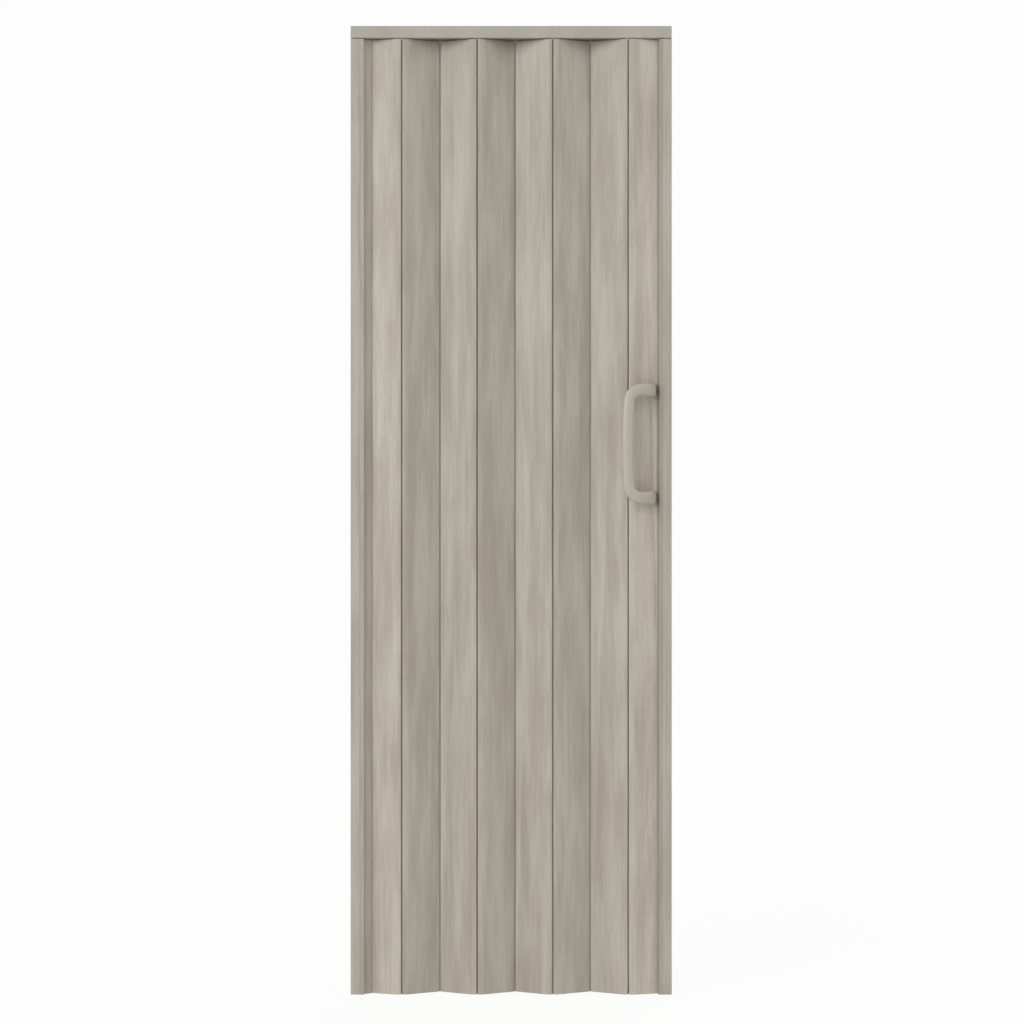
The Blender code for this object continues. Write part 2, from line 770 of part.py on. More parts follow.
def glider_mesh(builder):
    """A glider in the near end's frame: its stem on the hinge axis, its plug in the first cell."""
    rib_step = (SLAT_LENGTH - 2 * END_CELL - SLAT_RIB) / MIDDLE_CELLS
    plug_middle = END_CELL + SLAT_RIB + (rib_step - SLAT_RIB) / 2
    plug_half = GLIDER_PLUG_LENGTH / 2
    plug_low = FOLD_CLEARANCE + SLAT_WALL + FIT
    plug_high = plug_low + HALF_THICKNESS - SLAT_WALL
    arm_low = FIT
    head_low = -SLAT_TOP_Z - HEADER_HEIGHT + CHANNEL_LIP + FIT
    plug_centre = (plug_low + plug_high) / 2
    angle = math.atan2(plug_centre, plug_middle)
    span = math.hypot(plug_centre, plug_middle)
    quarter = math.pi / 2
    start = arc((0.0, 0.0), GLIDER_ARM_RADIUS, angle + quarter, angle + 3 * quarter, BEAD_STEPS)
    end_centre = (span * math.cos(angle), span * math.sin(angle))
    end = arc(end_centre, plug_centre, angle - quarter, angle + quarter, BEAD_STEPS)
    arm = extruded("glider_arm", [start + end], GLIDER_ARM_THICKNESS, builder.cutters)
    plug_outline = [
        (plug_middle - plug_half, plug_low),
        (plug_middle + plug_half, plug_low),
        (plug_middle + plug_half, plug_high),
        (plug_middle - plug_half, plug_high),
    ]
    plug_length = GLIDER_PLUG_DEPTH + arm_low + GLIDER_ARM_THICKNESS / 2
    plug = extruded("glider_plug", [plug_outline], plug_length, builder.cutters)
    stem = [
        (0.0, head_low + GLIDER_HEAD_HEIGHT),
        (GLIDER_HEAD_RADIUS - FIT, head_low + GLIDER_HEAD_HEIGHT),
        (GLIDER_HEAD_RADIUS, head_low + GLIDER_HEAD_HEIGHT - FIT),
        (GLIDER_HEAD_RADIUS, head_low),
        (GLIDER_STEM_RADIUS, head_low),
        (GLIDER_STEM_RADIUS, arm_low + GLIDER_ARM_THICKNESS / 2),
        (0.0, arm_low + GLIDER_ARM_THICKNESS / 2),
    ]
    head = turned("glider_head", stem, builder.cutters)
    arm_place = Matrix.Translation((0.0, 0.0, arm_low + GLIDER_ARM_THICKNESS / 2))
    plug_place = Matrix.Translation((0.0, 0.0, -GLIDER_PLUG_DEPTH + plug_length / 2))
    return united("glider", [(arm, arm_place), (plug, plug_place), (head, Matrix())], builder)


def united(name, meshes_and_places, builder):
    """One closed mesh from overlapping meshes, joined by Boolean unions."""
    (first, first_place), *others = meshes_and_places
    first.transform(first_place)
    base = bpy.data.objects.new(name, first)
    builder.cutters.objects.link(base)
    extras = []
    for mesh, place in others:
        mesh.transform(place)
        extra = bpy.data.objects.new(name + "_extra", mesh)
        builder.cutters.objects.link(extra)
        extras.append(extra)
        modifier = base.modifiers.new("join", "BOOLEAN")
        modifier.operation = "UNION"
        modifier.solver = "EXACT"
        modifier.object = extra
    result = mesh_of(base)
    for item in (base, *extras):
        bpy.data.objects.remove(item, do_unlink=True)
    return weld(result)


def lead_glider_mesh(builder):
    """The lead post's glider: a fixed shoe on a stem, and a plug in the post's front chamber."""
    head_low = -SLAT_TOP_Z - HEADER_HEIGHT + CHANNEL_LIP + FIT
    half = LEAD_GLIDER_LENGTH / 2

    def block(name, length, width, low, high):
        outline = [(-length, -width), (length, -width), (length, width), (-length, width)]
        mesh = extruded(name, [outline], high - low, builder.cutters)
        return mesh, Matrix.Translation((0.0, 0.0, (low + high) / 2))

    arm_top = FIT + GLIDER_ARM_THICKNESS
    shoe = block("shoe", half, GLIDER_HEAD_RADIUS, head_low, head_low + GLIDER_HEAD_HEIGHT)
    stem = block("stem", half - FIT, GLIDER_STEM_RADIUS, arm_top / 2, head_low + GLIDER_HEAD_HEIGHT / 2)
    plug = block("plug", half, LEAD_GLIDER_WIDTH / 2, -GLIDER_PLUG_DEPTH, arm_top)
    return united("lead_glider", [plug, stem, shoe], builder)


# Handles

def bar_ring(centre, across, through, width, thickness):
    """An oval section of a bar, as points about its centre."""
    ring = []
    for step in range(BAR_STEPS):
        turn = 2 * math.pi * step / BAR_STEPS
        ring.append(centre + across * width / 2 * math.cos(turn) + through * thickness / 2 * math.sin(turn))
    return ring


def handle_centres(foot, out, grip):
    """Points along the bow's middle and the direction across it in front view.

    foot, out and grip are seen from above: where a leg stands, the way it leaves the slat, and the
    middle of the grip. The leg leaves along out and swings round to run along the track.
    """
    half = (HANDLE_HEIGHT - LEG_HEIGHT) / 2
    rise = (grip.y - foot.y) / out.y
    run = foot.x + out.x * rise - grip.x
    swing = math.hypot(out.x * rise, run)
    lead = math.atan2(out.x * rise, run)
    turn_x = grip.x + GRIP_CORNER

    def turn_of(x):
        return lead + math.acos(max(-1.0, min(1.0, (x - foot.x + run) / swing)))

    def seen_from_above(angle):
        x = foot.x + out.x * rise * math.sin(angle) - run * (1 - math.cos(angle))
        return x, foot.y + out.y * rise * math.sin(angle)

    points = []
    for step in range(LEG_RINGS):
        x, y = seen_from_above(turn_of(turn_x) * step / LEG_RINGS)
        points.append((Vector((x, y, half)), Vector((0.0, 0.0, 1.0))))
    for step in range(TURN_RINGS):
        angle = math.pi / 2 * step / TURN_RINGS
        x = turn_x - GRIP_CORNER * math.sin(angle)
        z = half - GRIP_CORNER * (1 - math.cos(angle))
        across = Vector((-math.sin(angle), 0.0, math.cos(angle)))
        points.append((Vector((x, seen_from_above(turn_of(x))[1], z)), across))
    straight = half - GRIP_CORNER
    middle = []
    for step in range(GRIP_RINGS):
        z = straight * (1 - 2 * step / (GRIP_RINGS - 1))
        bow = GRIP_BOW * (1 - (z / straight) ** 2)
        middle.append((Vector((grip.x - bow, grip.y, z)), Vector((-1.0, 0.0, 0.0))))
    lower = []
    for point, across in reversed(points):
        lower.append((Vector((point.x, point.y, -point.z)), Vector((across.x, 0.0, -across.z))))
    return points + middle + lower


def handle_mesh(name, foot, out, grip):
    """A bow handle, lofted along its middle from a leg's section to the grip's and back."""
    path = handle_centres(foot, out, grip)
    last = len(path) - 1
    work = bmesh.new()
    rings = []
    for index, (point, across) in enumerate(path):
        if index == 0:
            along = Vector((out.x, out.y, 0.0))
        elif index == last:
            along = Vector((-out.x, -out.y, 0.0))
        else:
            along = path[index + 1][0] - path[index - 1][0]
        through = along.cross(across).normalized()
        share = (point.y - foot.y) / (grip.y - foot.y)
        width = LEG_HEIGHT + (GRIP_WIDTH - LEG_HEIGHT) * share**2
        thickness = LEG_THICKNESS + (GRIP_THICKNESS - LEG_THICKNESS) * share**2
        centre = point - Vector((0.0, 0.0, HANDLE_CENTRE_DROP))
        ring = bar_ring(centre, across, through, width, thickness)
        rings.append([work.verts.new(corner) for corner in ring])
    count = len(rings[0])
    for low, high in zip(rings, rings[1:]):
        for i in range(count):
            j = (i + 1) % count
            work.faces.new((low[i], low[j], high[j], high[i]))
    work.faces.new(rings[0])
    work.faces.new(reversed(rings[-1]))
    bmesh.ops.recalc_face_normals(work, faces=work.faces)
    mesh = bpy.data.meshes.new(name)
    work.to_mesh(mesh)
    work.free()
    return mesh


# Assembly

def build_header(builder):
    outline, holes = header_section()
    mesh = extruded("header_track", [outline, *holes], DOOR_WIDTH, builder.cutters)
    header = builder.part("header_track", mesh, "header_plastic", None, along_track())
    screw_y = (CHANNEL_HALF_WIDTH + HEADER_WALL + BACK_Y - HEADER_WALL) / 2
    spread = DOOR_WIDTH - 2 * TRACK_SCREW_END_INSET
    places = [
        Matrix.Translation(
            (spread * (index / (TRACK_SCREWS - 1) - 0.5), screw_y, -HEADER_TOP - FIT)
        )
        for index in range(TRACK_SCREWS)
    ]
    screw = screw_mesh("track_screw", HEADER_TOP, builder.cutters)
    for index, place in enumerate(places):
        builder.part("track_screw_" + str(index + 1), screw, "screw_steel", None, place)
    builder.cut(header, holes_mesh("track_holes", HEADER_TOP + CUT_OVERRUN, places))


def build_jamb(builder):
    height = DOOR_HEIGHT + JAMB_TOP_Z
    middle = standing(WALL_X, 0.0, JAMB_TOP_Z - height / 2)
    base_mesh = extruded("jamb_base", [jamb_base_section()], height, builder.cutters)
    base = builder.part("jamb_base", base_mesh, "wood_foil", None, middle)
    cover = extruded("jamb_cover", [jamb_cover_section()], height, builder.cutters)
    builder.part("jamb_cover", cover, "wood_foil", None, middle)
    screw_y = FRONT_Y + JAMB_POCKET_DEPTH + 2 * POST_WALL + JAMB_SCREW_SETBACK
    spread = height - 2 * JAMB_SCREW_END_INSET
    facing = Matrix.Rotation(-math.pi / 2, 4, "Y")
    places = []
    for index in range(JAMB_SCREWS):
        z = spread * (0.5 - index / (JAMB_SCREWS - 1))
        places.append(Matrix.Translation((POST_WALL + FIT, screw_y, z)) @ facing)
    screw = screw_mesh("jamb_screw", POST_WALL, builder.cutters)
    for index, place in enumerate(places):
        builder.part("jamb_screw_" + str(index + 1), screw, "screw_steel", None, middle @ place)
    reach = POST_WALL + CUT_OVERRUN
    builder.cut(base, holes_mesh("jamb_holes", reach, [middle @ place for place in places]))


class Hinge:
    """A hinge axis between two slats; a near hinge is a ridge towards the viewer."""

    def __init__(self, number, x, y, near):
        self.number = number
        self.x = x
        self.y = y
        self.near = near


def build_strip_half(builder, mesh, hinge, side, angle, pivot):
    """One half of a hinge strip; side is -1 on the hinge's left and 1 on its right."""
    name = "hinge_strip_" + str(hinge.number) + ("_left" if side < 0 else "_right")
    back = angle if hinge.near else -angle
    turn = back if side > 0 else math.pi - back
    flipped = hinge.near == (side > 0)
    place = standing(hinge.x, hinge.y, SLAT_TOP_Z - SLAT_HEIGHT / 2, turn, flipped)
    builder.part(name, mesh, "hinge_plastic", pivot, place)


def build_slat(builder, mesh, number, ridge_x, side, angle, pivot):
    """A slat whose near axis is at ridge_x; side is 1 where it runs to the right from there."""
    x, y = end_slat_point(ridge_x, side, angle, SLAT_LENGTH / 2, AXIS_OFFSET)
    turn = angle if side > 0 else math.pi - angle
    place = standing(x, y, SLAT_TOP_Z - SLAT_HEIGHT / 2, turn, side > 0)
    return builder.part("slat_" + str(number), mesh, "wood_foil", pivot, place)


def build_leaf(builder):
    """The eight slats with their strips and gliders, on the pivots that they fold about."""
    outline, holes = slat_section()
    slat = extruded("slat", [outline, *holes], SLAT_HEIGHT, builder.cutters)
    strip_length = SLAT_HEIGHT - STRIP_SHORTER
    strip = extruded("hinge_strip", [strip_half_section()], strip_length, builder.cutters)
    glider = glider_mesh(builder)

    hinges = []
    for index in range(FOLDING_SLATS + 1):
        near = index % 2 == 0
        y = 0.0 if near else FOLD_DEPTH
        hinges.append(Hinge(index + 1, FIRST_RIDGE_X + index * PITCH, y, near))
    last = FOLDING_SLATS + 2
    pivots = {1: None}
    for hinge in hinges:
        name = "pivot_" + ("lead" if hinge.number + 1 == last else "slat_" + str(hinge.number + 1))
        pivots[hinge.number + 1] = builder.pivot(name, hinge.x, hinge.y)

    angles = {1: JAMB_SLAT_ANGLE, last: LEAD_SLAT_ANGLE}
    for number in range(1, last + 1):
        angle = angles.get(number, REST_ANGLE)
        right_of_ridge = number % 2 == 0
        ridge = hinges[number - 2] if right_of_ridge else hinges[number - 1]
        side = 1 if right_of_ridge else -1
        lead_slat = build_slat(builder, slat, number, ridge.x, side, angle, pivots[number])
    for hinge in hinges:
        left, right = hinge.number, hinge.number + 1
        build_strip_half(builder, strip, hinge, -1, angles.get(left, REST_ANGLE), pivots[left])
        build_strip_half(builder, strip, hinge, 1, angles.get(right, REST_ANGLE), pivots[right])
    for hinge in hinges:
        if hinge.near:
            angle = angles.get(hinge.number, REST_ANGLE)
            place = standing(hinge.x, hinge.y, SLAT_TOP_Z, math.pi - angle)
            name = "glider_" + str(hinge.number // 2 + 1)
            builder.part(name, glider, "glider_nylon", pivots[hinge.number], place)
    return pivots[last], lead_slat


def build_lead_post(builder, pivot):
    middle = standing(CLOSING_X, 0.0, SLAT_TOP_Z - SLAT_HEIGHT / 2)
    post_mesh = extruded("lead_post", [lead_post_section()], SLAT_HEIGHT, builder.cutters)
    builder.part("lead_post", post_mesh, "wood_foil", pivot, middle)
    cover = extruded("lead_cover", [lead_cover_section()], SLAT_HEIGHT, builder.cutters)
    builder.part("lead_cover", cover, "wood_foil", pivot, middle)
    glider_x = CLOSING_X - (2 * POST_WALL + LEAD_COVER_WIDTH) / 2
    glider = lead_glider_mesh(builder)
    place = standing(glider_x, 0.0, SLAT_TOP_Z)
    builder.part("lead_glider", glider, "glider_nylon", pivot, place)


def build_handles(builder, pivot, lead_slat):
    """A bow handle on each face of the last slat, and the two screws that clamp them to it."""
    angle = LEAD_SLAT_ANGLE
    out = Vector((math.sin(angle), -math.cos(angle)))
    front_into = 2 * AXIS_OFFSET - FOLD_CLEARANCE + FIT
    foot_x = CLOSING_X - LEAD_MOUTH - HANDLE_FOOT_GAP - LEG_THICKNESS / 2 - LAST_RIDGE_X
    along = (foot_x - front_into * math.sin(angle)) / math.cos(angle)

    def point(into):
        return Vector(end_slat_point(LAST_RIDGE_X, 1, angle, along, into))

    front_foot = point(front_into)
    back_foot = point(FOLD_CLEARANCE - FIT)
    front_grip = Vector((front_foot.x - FRONT_GRIP_RUN, front_foot.y - GRIP_REACH))
    back_grip = Vector((back_foot.x - BACK_GRIP_RUN, back_foot.y + GRIP_REACH))
    front_mesh = handle_mesh("handle_front", front_foot, out, front_grip)
    back_mesh = handle_mesh("handle_back", back_foot, -out, back_grip)
    front = builder.part("handle_front", front_mesh, "handle_plastic", pivot)
    back = builder.part("handle_back", back_mesh, "handle_plastic", pivot)

    seat = point(FOLD_CLEARANCE - FIT - HANDLE_SCREW_SEAT)
    length = HANDLE_SCREW_SEAT + SLAT_THICKNESS + 2 * FIT + HANDLE_SCREW_BITE
    screw = screw_mesh("handle_screw", length, builder.cutters)
    facing = Matrix.Rotation(angle, 4, "Z") @ Matrix.Rotation(math.pi / 2, 4, "X")
    half = (HANDLE_HEIGHT - LEG_HEIGHT) / 2
    for number, height in ((1, half), (2, -half)):
        place = Matrix.Translation((seat.x, seat.y, height - HANDLE_CENTRE_DROP)) @ facing
        seated = place @ Matrix.Translation((0.0, 0.0, -FIT))
        builder.part("handle_screw_" + str(number), screw, "screw_steel", pivot, seated)
        for shape in (front, lead_slat, back):
            bore = hole_mesh("handle_hole", HOLE_RADIUS, -CUT_OVERRUN, length + FIT, place)
            builder.cut(shape, bore)
        recess = hole_mesh(
            "handle_recess", SCREW_HEAD_RADIUS + FIT, -COUNTERBORE_LENGTH, 0.0, place
        )
        builder.cut(back, recess)


def main():
    clear_scene()
    builder = Builder()
    build_header(builder)
    build_jamb(builder)
    lead_pivot, lead_slat = build_leaf(builder)
    build_lead_post(builder, lead_pivot)
    build_handles(builder, lead_pivot, lead_slat)
    print("door width", round(DOOR_WIDTH / MM, 1), "mm, pitch", round(PITCH / MM, 2), "mm")


main()
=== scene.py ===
import json
import math
from collections import namedtuple

import bmesh
import bpy
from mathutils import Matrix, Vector

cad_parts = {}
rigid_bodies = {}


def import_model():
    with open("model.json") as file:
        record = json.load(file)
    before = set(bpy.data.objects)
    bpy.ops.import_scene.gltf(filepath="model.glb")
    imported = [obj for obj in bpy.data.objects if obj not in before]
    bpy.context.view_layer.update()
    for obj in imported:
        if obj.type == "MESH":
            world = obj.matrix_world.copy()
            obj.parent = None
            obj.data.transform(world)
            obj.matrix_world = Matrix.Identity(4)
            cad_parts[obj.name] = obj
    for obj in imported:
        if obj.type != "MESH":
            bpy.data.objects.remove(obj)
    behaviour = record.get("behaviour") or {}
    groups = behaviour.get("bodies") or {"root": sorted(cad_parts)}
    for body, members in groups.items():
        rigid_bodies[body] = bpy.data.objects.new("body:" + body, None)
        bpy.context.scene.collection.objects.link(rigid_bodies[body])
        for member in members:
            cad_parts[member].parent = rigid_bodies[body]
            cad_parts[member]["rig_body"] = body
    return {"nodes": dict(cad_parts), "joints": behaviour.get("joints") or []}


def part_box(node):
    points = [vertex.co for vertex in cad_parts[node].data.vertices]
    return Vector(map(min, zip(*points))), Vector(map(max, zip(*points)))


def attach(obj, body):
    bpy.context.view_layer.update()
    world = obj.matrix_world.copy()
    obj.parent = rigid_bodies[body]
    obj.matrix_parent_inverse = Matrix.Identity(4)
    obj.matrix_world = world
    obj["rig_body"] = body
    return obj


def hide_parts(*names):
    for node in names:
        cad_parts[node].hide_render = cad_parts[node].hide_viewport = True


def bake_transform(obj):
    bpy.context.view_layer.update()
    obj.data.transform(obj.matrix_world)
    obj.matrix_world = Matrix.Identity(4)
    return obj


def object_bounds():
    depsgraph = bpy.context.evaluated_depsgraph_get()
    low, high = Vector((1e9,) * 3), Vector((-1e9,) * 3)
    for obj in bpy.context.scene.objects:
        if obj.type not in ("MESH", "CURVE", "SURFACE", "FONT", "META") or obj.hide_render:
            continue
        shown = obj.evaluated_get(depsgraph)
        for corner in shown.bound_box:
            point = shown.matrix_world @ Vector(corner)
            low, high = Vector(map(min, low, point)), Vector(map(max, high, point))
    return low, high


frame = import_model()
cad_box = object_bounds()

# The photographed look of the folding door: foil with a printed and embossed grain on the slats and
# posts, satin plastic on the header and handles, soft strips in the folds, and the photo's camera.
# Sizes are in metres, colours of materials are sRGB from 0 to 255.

MM = 0.001

# Camera: level, at about the middle of the door's height, with the photograph's field of view
PHOTO_SIDE = 1024
FOCAL_PIXELS = 2273.0
SENSOR = 36.0
VIEW_END = 100.0
CAMERA_DISTANCE = 4.7392
CAMERA_X = 0.0017
CAMERA_Z = -1.0136

# Lamps: strength, the direction in which it shines, and its size in degrees
LAMPS = {
    "key": (1.58, (0.60, 0.66, -0.34), 48),
    "fill": (0.52, (-0.80, 0.25, -0.55), 30),
    "back": (0.9, (-0.35, -0.80, -0.45), 60),
}
AMBIENT = (1.0, 0.995, 0.985)
AMBIENT_STRENGTH = 0.37

# The floor, and the white that the camera sees behind the door
FLOOR_GAP = 12 * MM
FLOOR_SIZE = 12.0
FLOOR_GREY = (0.9, 0.9, 0.9)
FLOOR_ROUGHNESS = 0.9
FLOOR_GLOW = (1.016, 1.016, 1.016)
GLOW_SHARE = 0.9
BACKGROUND = (0.982, 0.982, 0.982)

# Welding and smoothing of the CAD meshes
WELD = 0.002 * MM
SHARP_ANGLE = math.radians(32)
EDGE_ROUND = 0.22 * MM
EDGE_SEGMENTS = 2

# Soft strips: a thin web from lip to lip, WEB_OFFSET outside the fold line
LIP_REACH = 0.6 * MM
WEB_THICKNESS = 0.45 * MM
WEB_OFFSET = 0.2 * MM
WEB_INSET = 0.45 * MM
WEB_COLUMNS = 6
FOLD_ANGLE = math.radians(24.1)

# The width of the lead post's mouth edge that gets a darker material as painted shade of the gap
# against the last slat
MOUTH_SHADE_WIDTH = 3.4 * MM

# Noise: scale along x, y and z, its own settings, and how far it is moved away from other noise
Pattern = namedtuple("Pattern", "scale detail roughness distortion shift")
SHIFT_SHARES = (1.0, 0.37, 1.71)

# Wood foil: its patterns, all drawn out along the slat
BANDS = Pattern((32.0, 32.0, 3.8), 5.0, 0.62, 0.2, 0.0)
STREAKS = Pattern((170.0, 170.0, 5.5), 6.0, 0.62, 0.12, 3.1)
HAIRS = Pattern((780.0, 780.0, 16.0), 4.0, 0.6, 0.0, 7.7)
PORES = Pattern((1300.0, 1300.0, 38.0), 2.0, 0.5, 0.0, 11.3)
WEAR = Pattern((7.0, 7.0, 3.0), 4.0, 0.6, 0.0, 17.0)

# Wood foil: how much each pattern adds to the tone, the roughness and the relief
STREAK_TONE = 0.45
HAIR_TONE = 0.16
GRAIN_RANGE = (0.61, 1.0)
PORE_RANGE = (0.60, 0.72)
PORE_SHARE = (0.0, 0.5)
WEAR_RANGE = (0.3, 0.7)
FOIL_ROUGHNESS = (0.44, 0.54)
HAIR_ROUGHNESS = 0.06
HAIR_RELIEF = 0.6
PORE_RELIEF = -0.8
FOIL_BUMP = 0.28
FOIL_DEPTH = 0.12 * MM
FOIL_SPECULAR = 0.42

# Wood foil: light, dark and pore colour, and how far the grain moves from slat to slat
SLAT_FOIL = ((190, 183, 171), (171, 162, 149), (150, 140, 126))
POST_FOIL = ((187, 181, 171), (172, 164, 152), (152, 143, 130))
RIM_FOIL = ((174, 167, 156), (160, 152, 140), (152, 143, 130))
SLAT_SHIFT = 2.3
POST_FOILS = {
    "jamb_base": (POST_FOIL, 40.0),
    "jamb_cover": (POST_FOIL, 41.0),
    "lead_cover": (POST_FOIL, 41.0),
    "lead_post": (RIM_FOIL, 41.0),
}

# Painted light and shade: how light the foil is at a slat's left and right edge, in place of the
# shading across the folded slats; the two end slats differ from the others
EVEN_PAINTED_LIGHT = (0.992, 0.997)
ODD_PAINTED_LIGHT = (0.962, 0.992)
END_PAINTED_LIGHT = {1: (1.055, 1.035), 8: (1.025, 1.165)}

# Plastics: colour, colour of its clouds, range of roughness, scale and depth of the surface's grain
Plastic = namedtuple("Plastic", "colour mottle roughness grain depth")
STRIP = Plastic((170, 163, 150), (152, 145, 132), (0.55, 0.7), (600.0, 600.0, 20.0), 0.03 * MM)
# Painted shade: the lead post's mouth edge, darker than the strips, for the narrow gap against the
# last slat
MOUTH_PAINTED_SHADE = Plastic((156, 149, 137), (138, 131, 119), (0.55, 0.7), (600.0, 600.0, 20.0), 0.03 * MM)
HEADER = Plastic((187, 183, 173), (169, 165, 154), (0.38, 0.48), (3.0, 900.0, 900.0), 0.02 * MM)
HANDLE = Plastic((188, 181, 169), (178, 171, 158), (0.34, 0.46), (700.0, 700.0, 700.0), 0.04 * MM)
NYLON = Plastic((214, 211, 203), (198, 194, 184), (0.35, 0.5), (500.0, 500.0, 500.0), 0.02 * MM)

# Plastics: what they share
CLOUD = Pattern((9.0, 9.0, 5.0), 4.0, 0.6, 0.0, 0.0)
SKIN = Pattern((1.0, 1.0, 1.0), 3.0, 0.6, 0.0, 5.0)
MOTTLE_RANGE = (0.35, 0.7)
MOTTLE_SHARE = (0.0, 0.6)
CLOUD_RANGE = (0.3, 0.7)
SKIN_TONE = 0.35
SKIN_ROUGHNESS = 0.05
SKIN_BUMP = 0.22
PLASTIC_SPECULAR = 0.45

# Zinc-plated steel
STEEL = (196, 196, 198)
STEEL_MOTTLE = (160, 160, 163)
ZINC_CLOUD = Pattern((160.0, 160.0, 160.0), 4.0, 0.6, 0.0, 0.0)
ZINC_SCRATCH = Pattern((2400.0, 300.0, 2400.0), 3.0, 0.6, 0.0, 0.0)
ZINC_RANGE = (0.35, 0.75)
ZINC_ROUGHNESS = (0.26, 0.4)
SCRATCH_ROUGHNESS = 0.1
SCRATCH_BUMP = 0.15
SCRATCH_DEPTH = 0.03 * MM

# The sockets of a Mix node that carry colours
MIX_INPUTS = (6, 7)
MIX_OUTPUT = 2


def linear(colour):
    """A colour given as sRGB from 0 to 255, in the linear values that nodes take."""
    out = []
    for value in colour:
        share = value / 255
        out.append(share / 12.92 if share <= 0.04045 else ((share + 0.055) / 1.055) ** 2.4)
    return (*out, 1.0)


# A colour made lighter or darker; used for the painted light and shade across a slat
def tinted(colour, painted_lightness):
    return tuple(value * painted_lightness for value in colour)


# Material nodes

class Nodes:
    """Short names for adding and linking the nodes of one material."""

    def __init__(self, name):
        self.material = bpy.data.materials.new(name)
        self.material.use_nodes = True
        self.tree = self.material.node_tree
        self.shader = self.tree.nodes["Principled BSDF"]

    def add(self, kind, **settings):
        node = self.tree.nodes.new("ShaderNode" + kind)
        for key, value in settings.items():
            setattr(node, key, value)
        return node

    def link(self, source, target):
        self.tree.links.new(source, target)

    def noise(self, pattern, shift=0.0):
        """A pattern in object coordinates, moved by shift beyond its own."""
        total = shift + pattern.shift
        mapping = self.add("Mapping")
        mapping.inputs["Scale"].default_value = pattern.scale
        mapping.inputs["Location"].default_value = [total * share for share in SHIFT_SHARES]
        self.link(self.add("TexCoord").outputs["Object"], mapping.inputs["Vector"])
        node = self.add("TexNoise")
        node.inputs["Scale"].default_value = 1.0
        node.inputs["Detail"].default_value = pattern.detail
        node.inputs["Roughness"].default_value = pattern.roughness
        node.inputs["Distortion"].default_value = pattern.distortion
        self.link(mapping.outputs["Vector"], node.inputs["Vector"])
        return node.outputs["Fac"]

    def across(self):
        """The place along the track, in metres."""
        parts = self.add("SeparateXYZ")
        self.link(self.add("TexCoord").outputs["Object"], parts.inputs["Vector"])
        return parts.outputs["X"]

    def spread(self, value, source, target=(0.0, 1.0)):
        """A value taken smoothly from the range source to the range target."""
        node = self.add("MapRange", interpolation_type="SMOOTHSTEP")
        node.inputs["From Min"].default_value = source[0]
        node.inputs["From Max"].default_value = source[1]
        node.inputs["To Min"].default_value = target[0]
        node.inputs["To Max"].default_value = target[1]
        self.link(value, node.inputs["Value"])
        return node.outputs["Result"]

    def mix(self, first, second, share):
        """A mix of two colours, each a colour or a node's output; share 0 gives the first."""
        node = self.add("Mix", data_type="RGBA")
        self.link(share, node.inputs["Factor"])
        for index, colour in zip(MIX_INPUTS, (first, second)):
            if isinstance(colour, tuple):
                node.inputs[index].default_value = linear(colour)
            else:
                self.link(colour, node.inputs[index])
        return node.outputs[MIX_OUTPUT]

    def sum(self, first, second, weight):
        """The first value plus weight times the second."""
        node = self.add("Math", operation="MULTIPLY_ADD")
        self.link(second, node.inputs[0])
        node.inputs[1].default_value = weight
        self.link(first, node.inputs[2])
        return node.outputs[0]

    def bump(self, height, strength, distance):
        node = self.add("Bump")
        node.inputs["Strength"].default_value = strength
        node.inputs["Distance"].default_value = distance
        self.link(height, node.inputs["Height"])
        self.link(node.outputs["Normal"], self.shader.inputs["Normal"])

    def finish(self, colour, roughness):
        self.link(colour, self.shader.inputs["Base Color"])
        self.link(roughness, self.shader.inputs["Roughness"])
        return self.material


def wood_foil(name, colours, shift, painted_light_ends=None, reach=None):
    """Plastic with a wood-look foil: soft bands, fine streaks and short pores, all along the slat.

    The foil's lightness at the left and the right end of reach, a range of x, is painted light and
    shade across the slat."""
    nodes = Nodes(name)
    light, dark, pore = colours
    bands = nodes.noise(BANDS, shift)
    streaks = nodes.noise(STREAKS, shift)
    hairs = nodes.noise(HAIRS, shift)
    pores = nodes.noise(PORES, shift)
    wear = nodes.noise(WEAR, shift)
    tone = nodes.sum(nodes.sum(bands, streaks, STREAK_TONE), hairs, HAIR_TONE)
    grain = nodes.spread(tone, GRAIN_RANGE)
    if painted_light_ends is None:
        body = nodes.mix(light, dark, grain)
    # painted light and shade: the foil lighter or darker from the slat's left edge to its right
    # edge
    else:
        ends = [nodes.mix(tinted(light, painted_lightness), tinted(dark, painted_lightness), grain) for painted_lightness in painted_light_ends]
        body = nodes.mix(*ends, nodes.spread(nodes.across(), reach))
    colour = nodes.mix(body, pore, nodes.spread(pores, PORE_RANGE, PORE_SHARE))
    worn = nodes.spread(wear, WEAR_RANGE, FOIL_ROUGHNESS)
    roughness = nodes.sum(worn, hairs, HAIR_ROUGHNESS)
    relief = nodes.sum(nodes.sum(streaks, hairs, HAIR_RELIEF), pores, PORE_RELIEF)
    nodes.bump(relief, FOIL_BUMP, FOIL_DEPTH)
    nodes.shader.inputs["Specular IOR Level"].default_value = FOIL_SPECULAR
    return nodes.finish(colour, roughness)


def moulded_plastic(name, plastic):
    """Satin plastic with a fine moulded or extruded skin."""
    nodes = Nodes(name)
    cloud = nodes.noise(CLOUD)
    skin = nodes.noise(SKIN._replace(scale=plastic.grain))
    share = nodes.sum(nodes.spread(cloud, MOTTLE_RANGE, MOTTLE_SHARE), skin, SKIN_TONE)
    colour = nodes.mix(plastic.colour, plastic.mottle, share)
    worn = nodes.spread(cloud, CLOUD_RANGE, plastic.roughness)
    roughness = nodes.sum(worn, skin, SKIN_ROUGHNESS)
    nodes.bump(skin, SKIN_BUMP, plastic.depth)
    nodes.shader.inputs["Specular IOR Level"].default_value = PLASTIC_SPECULAR
    return nodes.finish(colour, roughness)


